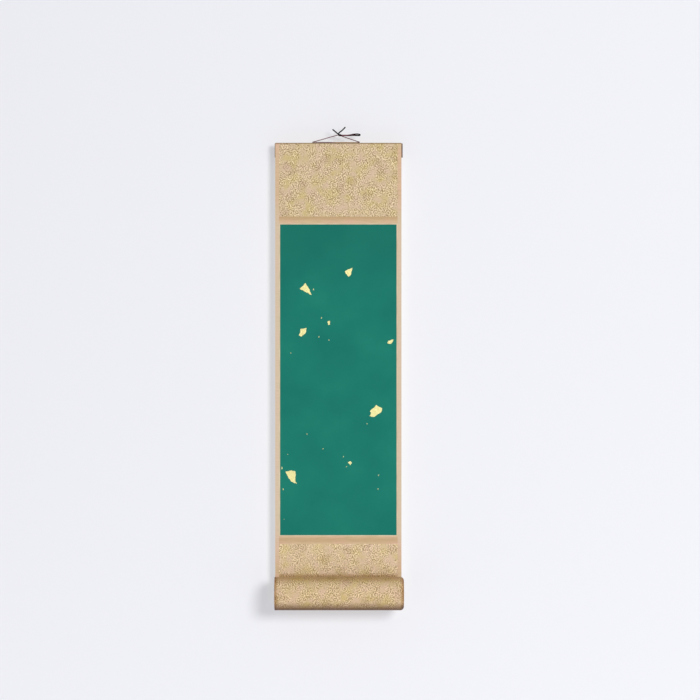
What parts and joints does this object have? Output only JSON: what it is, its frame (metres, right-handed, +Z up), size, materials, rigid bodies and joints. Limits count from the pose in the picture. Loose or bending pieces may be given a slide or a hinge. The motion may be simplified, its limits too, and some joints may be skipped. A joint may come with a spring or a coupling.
{
  "type": "hanging paper scroll",
  "caption": "Small blank hanging scroll: green gold-flecked paper set in tan silk and brocade, with a top stave, a fat bottom roller, a hanging cord and a tie cord.",
  "frame": {"origin": "top of the hanging cord, where a hook takes it, on the scroll's middle line and in the plane of the sheet", "axes": "+Z up the hanging scroll, +X to the viewer's right across its width, -Y the way its painted face looks"},
  "size_m": [0.1325, 0.0414, 0.4966],
  "materials": {
    "green_paper": "matte",
    "gold_leaf": "satin",
    "pale_paper": "matte",
    "brocade": "satin",
    "silk": "satin",
    "backing_paper": "matte",
    "dark_wood": "satin",
    "bronze": "satin",
    "thin_cord": "matte",
    "dark_cord": "matte"
  },
  "bodies": {
    "root": {"green_paper": "green_paper", "gold_leaf": "gold_leaf", "left_fillet_strip": "pale_paper", "right_fillet_strip": "pale_paper", "upper_fillet_strip": "pale_paper", "lower_fillet_strip": "pale_paper", "upper_silk_band": "silk", "lower_silk_band": "silk", "left_silk_border": "silk", "right_silk_border": "silk", "upper_brocade_panel": "brocade", "lower_brocade_panel": "brocade", "backing_paper": "backing_paper", "top_stave": "dark_wood", "left_eyelet": "bronze", "right_eyelet": "bronze", "roller_rod": "dark_wood", "roller_wrap": "brocade", "hanging_cord": "thin_cord", "tie_cord": "dark_cord", "tie_knot": "dark_cord"}
  },
  "joints": []
}
